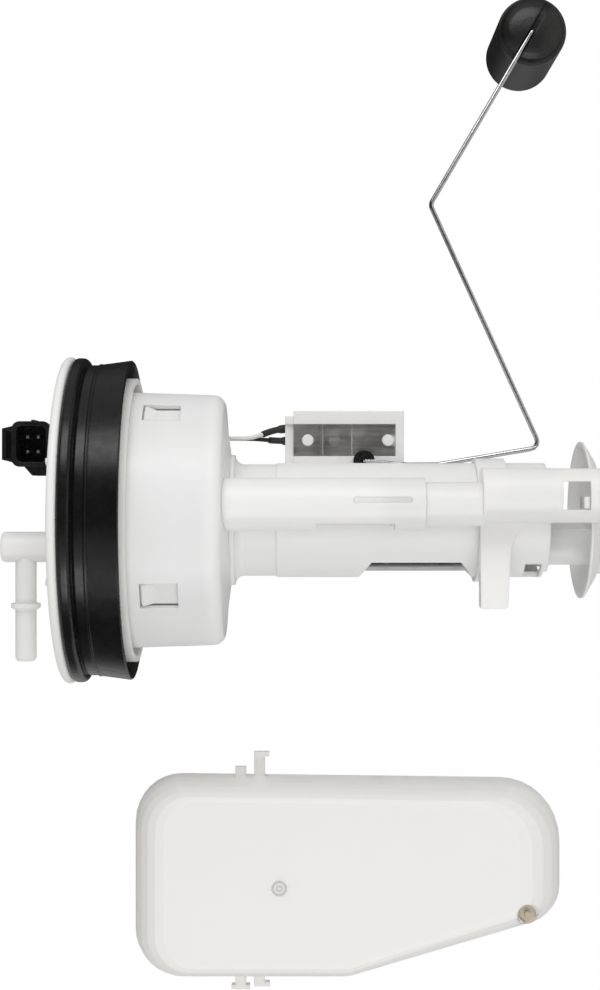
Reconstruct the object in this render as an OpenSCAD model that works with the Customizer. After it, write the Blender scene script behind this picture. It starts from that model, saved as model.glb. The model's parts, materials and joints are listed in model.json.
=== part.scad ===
// In-tank fuel pump module with a float-arm level sender and a clip-on reservoir cup.
// +Z points out of the tank, the origin is on the axis at the underside of the flange rim.

/* [Flange] */
// Radius of the flange rim
flange_r = 61; // [57:0.5:75]
// Thickness of the flange plate
flange_t = 3.4; // [2.8:0.1:5]
// Outer radius of the neck ring that carries the seal
neck_r = 53; // [51:0.5:55]
// Wall of the neck ring
neck_wall = 2.2; // [1.6:0.1:2.8]
// Depth of the neck ring below the rim
neck_depth = 23; // [20:0.5:25]
// Wall of the inner skirt that snaps into the canister
skirt_wall = 1.8; // [1.2:0.1:2.4]
// Depth of the inner skirt below the rim
skirt_depth = 43; // [36:0.5:48]

/* [Seal] */
// Radius of the lip under the rim
seal_lip_r = 60.6; // [59:0.2:62]
// Height of the lip
seal_lip_h = 4.8; // [4:0.1:6]
// Radius of the ribbed middle
seal_mid_r = 58; // [56:0.2:59]
// Height from the rim down to the sleeve
seal_mid_h = 10.4; // [9.6:0.1:13]
// Radius of the open end of the sleeve
seal_end_r = 59.7; // [58:0.1:60.5]
// Total height of the seal
seal_h = 21.4; // [18:0.2:26]
// Wall of the sleeve
seal_wall = 1.7; // [1.2:0.1:2.4]

/* [Outlet] */
// Distance of the outlet boss from the axis
outlet_x = 10.1; // [6:0.1:12]
// Radius of the outlet boss
outlet_boss_r = 5.7; // [5:0.1:7]
// Height of the boss above the rim
outlet_boss_top = 28.2; // [26:0.2:32]
// Height of the nipple axis above the rim
nipple_z = 19.2; // [17:0.1:22]
// Radius of the quick-connect stem, for 7.89 mm tube
nipple_r = 3.945; // [3:0.005:5]
// Distance of the stem tip from the module axis
nipple_tip = 52.8; // [45:0.2:60]
// Distance of the latch bead from the module axis
bead_x = 31.2; // [28:0.2:34]
// Radius of the latch bead
bead_r = 5.5; // [5:0.1:6]
// Width of the latch bead
bead_w = 2.6; // [2:0.1:3.4]
// Radius of the fuel passage in the elbow
passage_r = 2.4; // [1.8:0.1:2.8]

/* [Connector] */
// Height of the socket centre above the rim
plug_z = 15.4; // [14:0.1:17]
// Distance of the socket centre from the module axis
plug_x = 28.2; // [26:0.1:30]
// Width of the socket shell along the module axis
plug_h = 13.6; // [12:0.1:16]
// Width of the socket shell across the module axis
plug_w = 16; // [14:0.1:20]
// Depth of the socket shell
plug_depth = 26; // [20:0.5:30]
// Wall of the socket shell
plug_wall = 1.3; // [1:0.1:1.8]
// Pitch of the terminals across the socket
pin_pitch_x = 5.6; // [4:0.1:6]
// Pitch of the terminals along the module axis
pin_pitch_z = 3.9; // [3:0.1:5]
// Width of a terminal
pin_w = 1; // [0.6:0.1:1.4]

/* [Canister] */
// Outer radius of the filter canister
can_r = 47.8; // [44:0.2:50]
// Wall of the canister
can_wall = 2.2; // [1.6:0.1:2.6]
// Top edge of the canister, below the rim
can_top = 21; // [19:0.5:22.5]
// Lower end of the straight canister wall, below the rim
can_end = 56; // [53:0.5:62]
// Radius of the rounded lower corner
can_corner = 4.5; // [3:0.1:6]
// Rise of the domed end beyond the straight wall
dome_rise = 4; // [2:0.1:6]
// Length of a snap window along the axis
window_len = 13.5; // [10:0.5:15]
// Width of a snap window around the canister
window_w = 10.5; // [7:0.5:13]
// Upper edge of the snap windows, below the rim
window_top = 27; // [24:0.5:29]

/* [Pump holder] */
// Radial gap between the pump and its holder
holder_gap = 0.25; // [0.1:0.05:1]
// Wall of the pump holder
holder_wall = 2.15; // [1.6:0.05:3]
// End of the pump holder, below the rim
holder_end = 175; // [163:1:188]
// Distance of the regulator tube axis along +X
tube_x = 6.1; // [4:0.1:8]
// Depth to which the regulator tube sinks into the pump holder
tube_sink = 1.9; // [1.2:0.1:2]
// Outer radius of the regulator tube
tube_r = 9.5; // [9:0.1:10.5]
// Wall of the regulator tube
tube_wall = 1.4; // [1:0.1:1.8]
// End of the regulator tube, below the rim
tube_end = 128.4; // [118:0.5:134]

/* [Pump] */
// Outer radius of the pump case
pump_r = 19; // [17:0.05:21]
// Wall of the pump case
pump_wall = 1; // [0.8:0.1:1.4]
// Upper end of the pump case, below the rim
pump_top = 78; // [74:0.5:84]
// Length of the pump case
pump_len = 82; // [76:0.5:90]
// Radius of the motor shaft
shaft_r = 1.6; // [1.2:0.1:2]
// Radial clearance of the shaft in its bearings
shaft_gap = 0.02; // [0.012:0.002:0.04]
// Gap between armature and magnets
air_gap = 0.6; // [0.4:0.1:1]
// Thickness of the magnets
magnet_t = 4.2; // [3:0.1:4.6]
// Radius of the impeller
impeller_r = 16.2; // [14:0.1:17]
// Thickness of the impeller
impeller_t = 3.8; // [3:0.1:5]
// Side gap between the impeller and the pump walls
impeller_gap = 0.1; // [0.06:0.01:0.3]

/* [End bracket] */
// Outer radius of the regulator housing
saddle_r = 9.9; // [9.6:0.1:11]
// Distance of the regulator housing axis along +X
saddle_x = 9.2; // [8:0.1:10]
// Length of the saddle above the holder's end
saddle_len = 26.2; // [22:0.2:32]
// Width of the bracket's band along the axis
band_w = 11; // [8:0.2:13]
// Wall of the bracket's band
band_wall = 1.6; // [1.2:0.1:3]
// Reach of the bracket leg toward -X
leg_reach = 31.8; // [28:0.2:36]
// Insertion depth of the narrow tube
spigot_in = 12; // [8:0.5:16]
// Radius of the end plate
plate_r = 29.3; // [26:0.1:34]
// Wall of the end plate's bowl
plate_t = 2; // [1.6:0.1:2.6]
// Depth of the end plate's bowl
bowl_d = 8.5; // [7.5:0.1:14]
// Gap between the holder's end and the end plate
plate_gap = 13.5; // [12:0.5:18]

/* [Level sender] */
// Distance of the sender's front face behind the module axis plane
sender_y = 14.4; // [14:0.1:18]
// Depth of the sender body
sender_depth = 12; // [11:0.2:14]
// Distance of the sender body from the side of the holder
sender_gap = 1.57; // [1.2:0.01:3]
// Width of the sender body
sender_w = 24.2; // [22:0.2:30]
// Upper end of the sender body, below the rim
sender_z0 = 78; // [74:0.5:82]
// Lower end of the sender body, below the rim
sender_z1 = 123.6; // [118:0.5:128]
// Pivot of the float arm, from the lower edge of the sender body
pivot_in = 5; // [4.8:0.1:6]
// Pivot of the float arm, below the rim
pivot_z = 108.2; // [104:0.2:112]
// Radius of the float wire
wire_r = 0.9; // [0.7:0.05:1]
// Radial clearance of the wire in its bearing
pivot_gap = 0.04; // [0.02:0.01:0.08]
// Distance of the wire plane behind the module axis plane
wire_y = 10.6; // [10.4:0.1:12]
// Bend radius of the wire
bend_r = 3; // [2:0.25:5]

/* [Float] */
// Radius of the float
float_r = 13.2; // [10:0.1:18]
// Length of the float
float_len = 45.5; // [36:0.5:60]
// Distance of the float axis from the module axis
float_x = 186.6; // [160:0.5:230]
// Distance of the float axis below the rim
float_z = 172.4; // [158:0.5:198]
// Crown of the float's front face
float_crown = 2.4; // [1:0.1:4]

/* [Reservoir cup] */
// Upper end of the cup, below the rim
cup_z0 = 22.4; // [8:0.5:38]
// Length of the cup
cup_len = 158; // [140:1:190]
// Near edge of the cup, from the module axis
cup_x0 = 95; // [80:1:110]
// Width of the cup
cup_w = 73; // [60:1:88]
// Depth of the cup
cup_depth = 26; // [18:1:34]
// Wall of the cup
cup_wall = 1.8; // [1.2:0.1:3]
// Inset of the flat face at the wide end
face_inset_a = 12; // [8:0.5:14]
// Inset of the flat face at the narrow end
face_inset_b = 17; // [12:0.5:20]
// Inset of the flat face along the sides
face_inset_s = 6.4; // [4:0.2:8]
// Corner radius at the wide end
cup_corner = 17; // [12:0.5:20]
// Corner radius at the narrow end, near side
cup_end_r = 22; // [14:0.5:26]
// Corner radius at the narrow end, far side
cup_tip_r = 14; // [10:0.5:18]
// Length of the straight far side before it slants inward
cup_bend = 77; // [60:1:100]
// Distance that the slant brings the narrow end inward
cup_slant = 19; // [8:0.5:26]
// Radius of the inlet hole
inlet_r = 4.1; // [3:0.1:5]

/* [Hidden] */
$fn = 96;
eps = 0.01;
seam = 0.15; // clearance between pieces that plug together
boss_top = flange_t + 3;
boss_ring_z = -3;
spigot_r = tube_r - tube_wall - 0.2;
WHITE = [0.93, 0.92, 0.89];
CUP = [0.94, 0.93, 0.90, 0.8];
BLACK = [0.08, 0.08, 0.09];
STEEL = [0.75, 0.76, 0.77];
NICKEL = [0.62, 0.62, 0.60];
COPPER = [0.75, 0.45, 0.28];
CHARCOAL = [0.22, 0.21, 0.20];
AMBER = [0.72, 0.62, 0.48];

// Canister and filter
can_in = can_r - can_wall;
skirt_r = can_in - seam;
dome_z = can_end + dome_rise;
filter_r = can_in - 18.1;
lead_ring = filter_r + 6.515;
filter_core_r = 15;
filter_z0 = 7;
filter_z1 = 51;
filter_cap_t = 2;
spigot_in_r = 13.2;
spigot_out_r = 14.6;
lead_x = lead_ring * cos(24.3);
lead_y = lead_ring * sin(24.3);
lead_tube_r = 3.8;
lead_bore_r = 2.6;
window_turns = [56, -34, 146, 236];

// Pump stack, all below the rim
pump_ri = pump_r - pump_wall;
pump_bottom = pump_top + pump_len;
holder_ri = pump_r + holder_gap;
holder_r = holder_ri + holder_wall;
holder_top = dome_z + 3;
tube_y = holder_r + tube_r - tube_sink;
saddle_end = holder_end;
saddle_top = holder_end - saddle_len;
plate_z = holder_end + plate_gap;
magnet_ri = pump_ri - magnet_t;
armature_r = magnet_ri - air_gap;
bearing_r = shaft_r + shaft_gap;
cap_plug = 5;
comm_top = pump_top + 11;
comm_t = 3;
arm_top = comm_top + comm_t + 2;
head_t = 6;
cap_in = 12;
head_bottom = pump_bottom - cap_in;
head_top = head_bottom - head_t;
arm_bottom = head_top - 5;
imp_top = head_bottom + impeller_gap;
imp_bottom = imp_top + impeller_t;
inlet_x = 10.1;
strainer_r = 8.6;
nozzle_r = 5;
nozzle_end = plate_z - 6.5;
outlet_r = 5;
oring_s = 0.8;
pump_oring_r = outlet_r + seam - oring_s;
tube_oring_r = tube_r - tube_wall - oring_s;
boss_oring_r = outlet_boss_r - 1.5 + seam - oring_s;
outlet_top = dome_z - 6.4;
chamber_r = 3.1;
chamber_top = outlet_top + 3;
chamber_bottom = chamber_top + 13;
ball_r = 2.6;
seat_r = 1.8;
duct_x = 9.5;
duct_z = pump_top - 4;
duct_r = 1.5;
brush_y = 8.5;
brush_w = 4.2;
brush_top = pump_top + 1;
brush_pocket_top = pump_top - 8;

// Regulator
reg_r = 7.7;
reg_top = saddle_top + 7;
reg_end = saddle_end - 1;
reg_ball_r = 2.4;

// Sender
sender_x0 = sqrt(holder_r * holder_r - sender_y * sender_y) + sender_gap;
sender_x1 = sender_x0 + sender_w;
pivot_x = sender_x0 + pivot_in;
sender_y1 = sender_y + sender_depth;
recess_z0 = sender_z0 + 3;
recess_z1 = sender_z1 - 3.2;
recess_x0 = pivot_x + 1.9;
recess_x1 = sender_x1 - 5;
recess_d = 2;
plate_d = 0.8;
post_x = (recess_x0 + recess_x1) / 2;
post_r = 2.2;
cavity_y0 = sender_y + 3.2;
cover_t = 2;
hub_r = 4.1;
hub_y0 = wire_y + wire_r;
hub_y1 = sender_y - 0.25;
wiper_y = cavity_y0 + 1.6;

// Float
float_y0 = wire_y - wire_r - 0.6;
arm_points = [
    [pivot_x, -pivot_z], [pivot_x - 1.5, -pivot_z - 17], [pivot_x - 1.4, -pivot_z - 28],
    [pivot_x + 5.2, -pivot_z - 67.3], [pivot_x + 97.8, -pivot_z - 25.2], [float_x, -float_z]
];

// Bracket
ring_ri = holder_r + seam;
ring_ro = ring_ri + band_wall;
leg_y0 = tube_y - 1;
strap_y = plate_r + 1.4;
strap_over = 3.4;
latch_w = 10;
latch_z0 = plate_z - 11.6;
latch_z1 = plate_z - 1.8;
hook_x0 = saddle_x - latch_w / 2 + 0.4;
hook_x1 = saddle_x + latch_w / 2 - 5.4;

// Cup
cup_z1 = cup_z0 + cup_len;
cup_x1 = cup_x0 + cup_w;
valve_x = cup_x1 - 25.4;
valve_z = cup_z1 - 14.2;
valve_seat_r = inlet_r - 0.9;
valve_t = 1;
valve_travel = 1.2;
clip_z = cup_z0 + 46.2;

// Points of an arc in a profile
function arc(cx, cy, r, a0, a1, n = 8) =
    [for (i = [0:n]) [cx + r * cos(a0 + (a1 - a0) * i / n), cy + r * sin(a0 + (a1 - a0) * i / n)]];
// Vector helpers for swept wires
function unit(v) = v / norm(v);
function tangent(p, i) = unit(p[min(i + 1, len(p) - 1)] - p[max(i - 1, 0)]);
function mix(a, b, t) = a * (1 - t) + b * t;
function bezier(a, b, c, d, t) =
    mix(mix(mix(a, b, t), mix(b, c, t), t), mix(mix(b, c, t), mix(c, d, t), t), t);

module tube(ro, ri, z0, z1) {
    translate([0, 0, -z1])
        difference() {
            cylinder(r = ro, h = z1 - z0);
            translate([0, 0, -1]) cylinder(r = ri, h = z1 - z0 + 2);
        }
}

module disc(r, z0, z1) {
    translate([0, 0, -z1]) cylinder(r = r, h = z1 - z0);
}

// Block between two depths below the rim
module block(x0, x1, y0, y1, z0, z1) {
    translate([x0, y0, -z1]) cube([x1 - x0, y1 - y0, z1 - z0]);
}

// Cylinder along +Y at height -z
module pin_y(x, z, r, y0, y1) {
    translate([x, y0, -z]) rotate([-90, 0, 0]) cylinder(r = r, h = y1 - y0);
}

module rounded_square(w, h, r) {
    union() {
        square([w - 2 * r, h], center = true);
        square([w, h - 2 * r], center = true);
        for (sx = [-1, 1], sy = [-1, 1])
            translate([sx * (w / 2 - r), sy * (h / 2 - r)]) circle(r = r, $fn = 32);
    }
}

// O-ring of section radius s centred at height -z
module oring(r, s, z) {
    translate([0, 0, -z]) rotate_extrude() translate([r, 0]) circle(r = s, $fn = 24);
}

// Coil spring of mean radius r between two depths
module coil(r, w, z0, z1, turns) {
    steps = turns * 12;
    rise = (z1 - z0 - 2 * w) / steps;
    sweep([for (i = [0:steps]) [r * cos(30 * i), r * sin(30 * i), -z1 + w + i * rise]], w, 6);
}

// Round wire swept through points by a closed mesh, r is one radius or a list of them
module sweep(p, r, sides = 8, up = [0.01, 0.02, 1]) {
    rings = [for (i = [0:len(p) - 1])
        let (t = tangent(p, i), u = unit(cross(t, up)), v = cross(t, u), q = is_list(r) ? r[i] : r)
        [for (k = [0:sides - 1]) p[i] + q * (u * cos(360 * k / sides) + v * sin(360 * k / sides))]];
    last = (len(p) - 1) * sides;
    polyhedron(
        points = [for (g = rings, q = g) q],
        faces = concat(
            [[for (k = [0:sides - 1]) sides - 1 - k]],
            [[for (k = [0:sides - 1]) last + k]],
            [for (i = [0:len(p) - 2], k = [0:sides - 1])
                [i * sides + k, i * sides + (k + 1) % sides,
                 (i + 1) * sides + (k + 1) % sides, (i + 1) * sides + k]]
        )
    );
}

module flange() {
    color(WHITE) difference() {
        union() {
            rotate_extrude() polygon(concat(
                [[0, 0], [0, flange_t + 1], [flange_r - 16, flange_t + 0.6]],
                [[flange_r - 6, flange_t]],
                arc(flange_r - flange_t / 2, flange_t / 2, flange_t / 2, 90, -90, 10)
            ));
            tube(neck_r, neck_r - neck_wall, -eps, neck_depth);
            tube(skirt_r, skirt_r - skirt_wall, -eps, skirt_depth);
            tube(spigot_out_r, spigot_in_r, -eps, filter_z0 + 4);
            translate([-outlet_x, 0, 0]) cylinder(r = outlet_boss_r + 1.4, h = boss_top);
            for (a = [0:45:315]) rotate(a + 22.5)
                translate([flange_r - 11, -0.8, flange_t - 0.5]) cube([6, 1.6, 1.6]);
            for (a = window_turns) snap_tab(a);
        }
        translate([-outlet_x, 0, -8]) cylinder(r = outlet_boss_r - 1.5 + seam, h = boss_top + 9);
        block(plug_x - 8.1, plug_x + 8.1, 3.9, 13.1, -9, 4);
        for (a = window_turns) rotate(front(a))
            for (sy = [-1, 1])
                translate([skirt_r - skirt_wall - 1, sy * (window_w / 2 + 0.2) - 0.6, -skirt_depth - 1])
                    cube([skirt_wall + 2, 1.2, skirt_depth - window_top + 8]);
    }
}

// Turn of a feature that faces the angle a from the front toward +X
function front(a) = a - 90;

module snap_tab(a) {
    rotate(front(a)) intersection() {
        translate([skirt_r - skirt_wall, -window_w / 2 + 0.6, -window_top - 7])
            cube([can_wall + skirt_wall, window_w - 1.2, 6.4]);
        rotate_extrude() polygon([
            [skirt_r - 1, -window_top - 7], [can_r - 0.7, -window_top - 1.6],
            [can_r - 0.7, -window_top - 0.6], [skirt_r - 1, -window_top - 0.6]
        ]);
    }
}

module flange_seal() {
    color(BLACK) rotate_extrude() polygon(concat(
        [[neck_r, -0.02]],
        arc(seal_lip_r - 1.6, -1.62, 1.6, 90, 0, 5),
        arc(seal_lip_r - 1.8, 1.8 - seal_lip_h, 1.8, 0, -90, 5),
        [[seal_mid_r - 0.7, -seal_lip_h - 0.1], [seal_mid_r - 0.3, -seal_lip_h - 0.9]],
        [[seal_mid_r, -seal_lip_h - 1.2], [seal_mid_r, -seal_mid_h + 1.3]],
        arc(seal_mid_r - 0.25, -seal_mid_h + 0.7, 0.7, 60, -60, 6),
        [[seal_mid_r + 0.3, -seal_mid_h], [seal_end_r, -seal_h + 0.5]],
        [[seal_end_r - 0.4, -seal_h], [seal_end_r - seal_wall, -seal_h]],
        [[seal_mid_r + 0.3 - seal_wall, -seal_mid_h - 0.6], [neck_r, -seal_mid_h - 0.6]]
    ));
}

module outlet_elbow() {
    color(WHITE) difference() {
        union() {
            translate([-outlet_x, 0, 0]) rotate_extrude() polygon(concat(
                [[0, boss_top], [outlet_boss_r, boss_top], [outlet_boss_r, outlet_boss_top - 1.4]],
                arc(outlet_boss_r - 1.4, outlet_boss_top - 1.4, 1.4, 0, 90, 5),
                [[0, outlet_boss_top]]
            ));
            translate([-outlet_x, 0, -2]) cylinder(r = outlet_boss_r - 1.5, h = boss_top + 3);
            rotate([0, -90, 0]) translate([nipple_z, 0, outlet_x]) nipple_outline();
        }
        translate([-outlet_x, 0, -3]) cylinder(r = passage_r, h = nipple_z + 3 + passage_r);
        translate([-nipple_tip - 1, 0, nipple_z]) rotate([0, 90, 0])
            cylinder(r = passage_r, h = nipple_tip - outlet_x + 1);
        translate([-outlet_x, 0, 0]) oring(boss_oring_r, oring_s, boss_ring_z);
    }
}

module nipple_outline() {
    reach = nipple_tip - outlet_x;
    bead = bead_x - outlet_x;
    cylinder(r = nipple_r, h = reach - 1.2);
    translate([0, 0, reach - 1.2]) cylinder(r1 = nipple_r, r2 = nipple_r - 0.7, h = 1.2);
    translate([0, 0, bead]) cylinder(r = bead_r, h = bead_w - 1);
    translate([0, 0, bead + bead_w - 1]) cylinder(r1 = bead_r, r2 = nipple_r, h = 1);
}

module outlet_oring() {
    color(BLACK) translate([-outlet_x, 0, 0]) oring(boss_oring_r, oring_s, boss_ring_z);
}

module pin_path(col, row) {
    x = plug_x + (col - 0.5) * pin_pitch_x;
    z = plug_z + (row - 0.5) * pin_pitch_z;
    y = 7 + row * 3;
    h = pin_w / 2;
    block(x - h, x + h, -plug_depth / 2 + 5, y + h, -z - h, -z + h);
    block(x - h, x + h, y - h, y + h, -z - h, 4);
}

module connector_housing() {
    foot_top = plug_z - plug_h / 2 + 1;
    color(BLACK) difference() {
        union() {
            translate([plug_x, plug_depth / 2, plug_z]) rotate([90, 0, 0])
                linear_extrude(height = plug_depth) rounded_square(plug_w, plug_h, 2.6);
            block(plug_x - 8, plug_x + 8, 4, 13, -foot_top, 2);
            block(plug_x - 9, plug_x + 7, -2, 12, -foot_top, -flange_t - 1.2);
            translate([0, 3, 0]) rotate([90, 0, 0]) linear_extrude(height = plug_depth / 2 + 1)
                polygon([
                    [plug_x - 7.6, plug_z + 4], [plug_x - 6.6, plug_z + 7.6],
                    [plug_x - 5.8, plug_z + 11], [plug_x + 5.8, plug_z + 11],
                    [plug_x + 6.6, plug_z + 7.6], [plug_x + 7.6, plug_z + 4]
                ]);
            translate([0, 4, 0]) rotate([90, 0, 0]) linear_extrude(height = plug_depth / 2 + 1)
                polygon([
                    [plug_x - 6, plug_z + 5], [plug_x - 11.6, plug_z], [plug_x - 11.6, plug_z - 6],
                    [plug_x - 6, plug_z - 6]
                ]);
            block(plug_x + plug_w / 2 - 1, plug_x + plug_w / 2 + 1, -11, 4, -plug_z - 0.2, -plug_z + 1);
            translate([plug_x, -plug_depth / 2 + 1.6, plug_z]) rotate([90, 0, 0])
                linear_extrude(height = 1.6) rounded_square(plug_w + 0.8, plug_h + 0.8, 3);
        }
        translate([plug_x, -plug_depth / 2 + 16, plug_z]) rotate([90, 0, 0])
            linear_extrude(height = 20)
                rounded_square(plug_w - 2 * plug_wall, plug_h - 2 * plug_wall, 2);
        block(plug_x - 5.4, plug_x + 5.2, -plug_depth / 2 - 2, 4, -plug_z - 9.5, -plug_z - 7.5);
        for (col = [0, 1], row = [0, 1]) pin_path(col, row);
    }
}

module connector_pins() {
    color(STEEL) for (col = [0, 1], row = [0, 1]) pin_path(col, row);
}

// Outer form of the canister and its domed end, as a solid
module canister_form() {
    rotate_extrude() polygon(canister_profile(0));
}

function canister_profile(inset) = concat(
    [[0, -can_top + inset], [can_r - inset, -can_top + inset]],
    arc(can_r - 1 - can_corner, -can_end + can_corner, can_corner - inset, 0, -72, 8),
    arc(0, -dome_z + 0.4 + dome_sphere, dome_sphere - inset - 0.4, dome_edge, -90, 10)
);
dome_sphere = (pow(can_r - 6, 2) + pow(dome_rise, 2)) / (2 * dome_rise);
dome_edge = -90 + asin((can_r - 6) / dome_sphere);

module filter_canister() {
    color(WHITE) difference() {
        union() {
            difference() {
                canister_form();
                rotate_extrude() polygon(canister_profile(can_wall));
                disc(can_in, can_top - 5, can_end - can_corner - 2);
            }
            translate([lead_x, lead_y, 0])
                intersection() {
                    disc(lead_tube_r, filter_z0, dome_z + 3);
                    translate([-lead_x, -lead_y, 0]) union() {
                        canister_form();
                        disc(can_in - 1, 0, can_top + 2);
                    }
                }
            intersection() {
                disc(outlet_r + 3, dome_z - 7, dome_z + 3);
                canister_form();
            }
        }
        translate([lead_x, lead_y, 0]) disc(lead_bore_r, 0, dome_z + 5);
        disc(outlet_r + seam, dome_z - 12, dome_z + 5);
        translate([tube_x, -tube_y, 0]) disc(3, can_end - 6, dome_z + 5);
        for (a = window_turns) rotate(front(a)) {
            translate([can_in - 3, -window_w / 2, -window_top - window_len])
                cube([can_wall + 6, window_w, window_len]);
        }
        rotate(front(-75)) translate([can_r - 1, -4.5, -49]) cube([4, 9, 13.4]);
    }
}

module filter_media() {
    pleats = 36;
    color([0.86, 0.82, 0.68])
        translate([0, 0, -filter_z1]) linear_extrude(height = filter_z1 - filter_z0)
            difference() {
                polygon([for (i = [0:2 * pleats - 1])
                    (i % 2 == 0 ? filter_r - 1 : filter_core_r + 3.2)
                        * [cos(180 * i / pleats), sin(180 * i / pleats)]]);
                circle(r = filter_core_r + 1.3);
            }
}

module filter_core() {
    color(WHITE) difference() {
        tube(filter_core_r + 1.2, filter_core_r, filter_z0, filter_z1);
        for (z = [filter_z0 + 5:9:filter_z1 - 8], a = [0:60:120])
            translate([0, 0, -z - 4]) rotate(a) translate([-30, -3, 0]) cube([60, 6, 6]);
    }
}

module filter_top_cap() {
    color(WHITE) tube(filter_r, spigot_out_r + seam, filter_z0 - filter_cap_t, filter_z0);
}

module filter_bottom_cap() {
    color(WHITE) disc(filter_r, filter_z1, filter_z1 + filter_cap_t - 0.6);
}

module pump_holder() {
    color(WHITE) difference() {
        union() {
            disc(holder_r - 0.5, can_end - 3, pump_top - 3);
            disc(holder_r, pump_top - 3, holder_end);
            translate([tube_x, -tube_y, 0]) disc(tube_r, can_end - 3, tube_end);
            block(tube_x - 5, tube_x + 5, -tube_y + 4, -holder_ri + 3, can_end - 3, tube_end);
            block(4, sender_x0, sender_y, sender_y + 8, sender_z0 - 1, sender_z1 + 1);
            translate([0, 0, -dome_z + 1.2]) rotate_extrude()
                polygon(concat([[holder_r - 2, 2], [holder_r + 3, 2]],
                    arc(holder_r + 3, -4.2, 3.5, 90, 180, 6), [[holder_r - 2, -4.2]]));
        }
        canister_form();
        disc(holder_ri, holder_top, holder_end + 1);
        disc(outlet_r + seam, can_end, holder_top + 1);
        translate([tube_x, -tube_y, 0]) {
            disc(tube_r - tube_wall, tube_end - spigot_in - 3, tube_end + 1);
            disc(tube_r - tube_wall - 2, can_end, tube_end);
        }
        block(tube_x - 12, tube_x - tube_r + 2.6, -tube_y - 12, -tube_y + 6, 89.5, 117.5);
        translate([tube_x + 1.6, -tube_y - tube_r + 0.8, -123.6]) rotate([90, 0, 0])
            linear_extrude(height = 3) {
                translate([-1, 1]) square([2, 18.6]);
                translate([0, 1]) circle(r = 1, $fn = 24);
                translate([0, 19.6]) circle(r = 1.3, $fn = 24);
            }
        translate([0, 22, 0]) rotate([90, 0, 0]) linear_extrude(height = 44)
            polygon([[-holder_r - 2, -104], [-holder_ri + 3.8, -110],
                     [-holder_ri + 3.8, -143], [-holder_r - 2, -150]]);
        block(-holder_r - 2, -holder_ri + 4.5, -14, 0, holder_end - 8.5, holder_end - 2.5);
        block(-holder_r - 2, -holder_ri + 1.5, -10, 20, holder_end - 1.4, holder_end + 1);
        block(-10, 0, 12, 30, holder_end - 9, holder_end - 3);
        translate([pivot_x, hub_y0 - 0.4, -pivot_z]) rotate([-90, 0, 0])
            cylinder(r = hub_r + 0.4, h = hub_y1 - hub_y0 + 0.6);
    }
}

module pump_oring() {
    color(BLACK) oring(pump_oring_r, oring_s, dome_z - 1.5);
}

module pump_case() {
    color(STEEL) tube(pump_r, pump_ri, pump_top, pump_bottom);
}

module outlet_cap() {
    color(BLACK) difference() {
        union() {
            disc(pump_r, pump_top - 10, pump_top);
            disc(pump_ri - 0.03, pump_top - eps, pump_top + cap_plug);
            disc(outlet_r, outlet_top, pump_top);
        }
        disc(bearing_r, pump_top + 1, pump_top + cap_plug + 1);
        disc(seat_r, chamber_bottom - 1, duct_z + duct_r);
        disc(chamber_r, chamber_top, chamber_bottom);
        disc(seat_r + 0.4, outlet_top - 1, chamber_top + 1);
        translate([0, 0, -duct_z]) rotate([0, 90, 0]) cylinder(r = duct_r, h = duct_x);
        translate([duct_x, 0, 0]) disc(duct_r, duct_z, pump_top + cap_plug + 1);
        for (s = [-1, 1])
            block(-brush_w / 2, brush_w / 2, s * brush_y - brush_w / 2, s * brush_y + brush_w / 2,
                brush_pocket_top, pump_top + cap_plug + 1);
        oring(pump_oring_r, oring_s, dome_z - 1.5);
    }
}

module pump_head() {
    color(STEEL) difference() {
        disc(pump_ri - 0.03, head_top, head_bottom);
        disc(bearing_r, head_top - 1, head_bottom + 1);
        translate([0, -13, 0]) disc(2.2, head_top - 1, head_bottom + 1);
    }
}

module inlet_cap() {
    color(BLACK) difference() {
        union() {
            disc(pump_ri - 0.03, head_bottom, pump_bottom + eps);
            disc(pump_r, pump_bottom, pump_bottom + 3);
            translate([-inlet_x, 0, 0]) disc(nozzle_r, pump_bottom, nozzle_end);
        }
        disc(impeller_r + seam, head_bottom - 1, imp_bottom + impeller_gap);
        disc(bearing_r, imp_bottom - 1, imp_bottom + 5);
        translate([-inlet_x, 0, 0]) disc(nozzle_r - 1.4, imp_bottom - 1, nozzle_end + 1);
    }
}

module magnet(side) {
    color([0.25, 0.25, 0.27]) intersection() {
        tube(pump_ri - 0.04, magnet_ri, arm_top, arm_bottom);
        rotate(side * 180) rotate([0, 0, -65])
            translate([0, 0, -arm_bottom]) linear_extrude(height = arm_bottom - arm_top)
                polygon([[0, 0], [60, 0], [60, 60], [0, 60], [-26, 56]]);
    }
}

module magnet_a() {
    magnet(0);
}

module magnet_b() {
    magnet(1);
}

module motor_shaft() {
    color(STEEL) disc(shaft_r, pump_top + 1.4, imp_bottom + 4);
}

module armature() {
    slots = 8;
    color(COPPER) difference() {
        disc(armature_r, arm_top, arm_bottom);
        disc(shaft_r, arm_top - 1, arm_bottom + 1);
        for (i = [0:slots - 1]) rotate(360 * i / slots)
            translate([armature_r - 3, -0.9, -arm_bottom - 1]) cube([4, 1.8, arm_bottom - arm_top + 2]);
    }
}

module commutator() {
    bars = 8;
    color(COPPER) difference() {
        disc(armature_r - 1, comm_top, comm_top + comm_t + 2);
        disc(shaft_r, comm_top - 1, comm_top + comm_t + 3);
        for (i = [0:bars - 1]) rotate(360 * (i + 0.5) / bars)
            translate([3, -0.25, -comm_top - 0.8]) cube([armature_r, 0.5, 2]);
    }
}

module impeller() {
    vanes = 24;
    color(AMBER) difference() {
        disc(impeller_r, imp_top, imp_bottom);
        disc(shaft_r, imp_top - 1, imp_bottom + 1);
        for (i = [0:vanes - 1]) rotate(360 * i / vanes)
            translate([impeller_r - 2.6, -0.6, -imp_bottom - 1]) cube([4, 1.2, impeller_t + 2]);
    }
}

module brush(side) {
    w = brush_w / 2 - 0.05;
    color([0.2, 0.2, 0.2])
        block(-w, w, side * brush_y - w, side * brush_y + w, brush_top, comm_top - 0.05);
}

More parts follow.
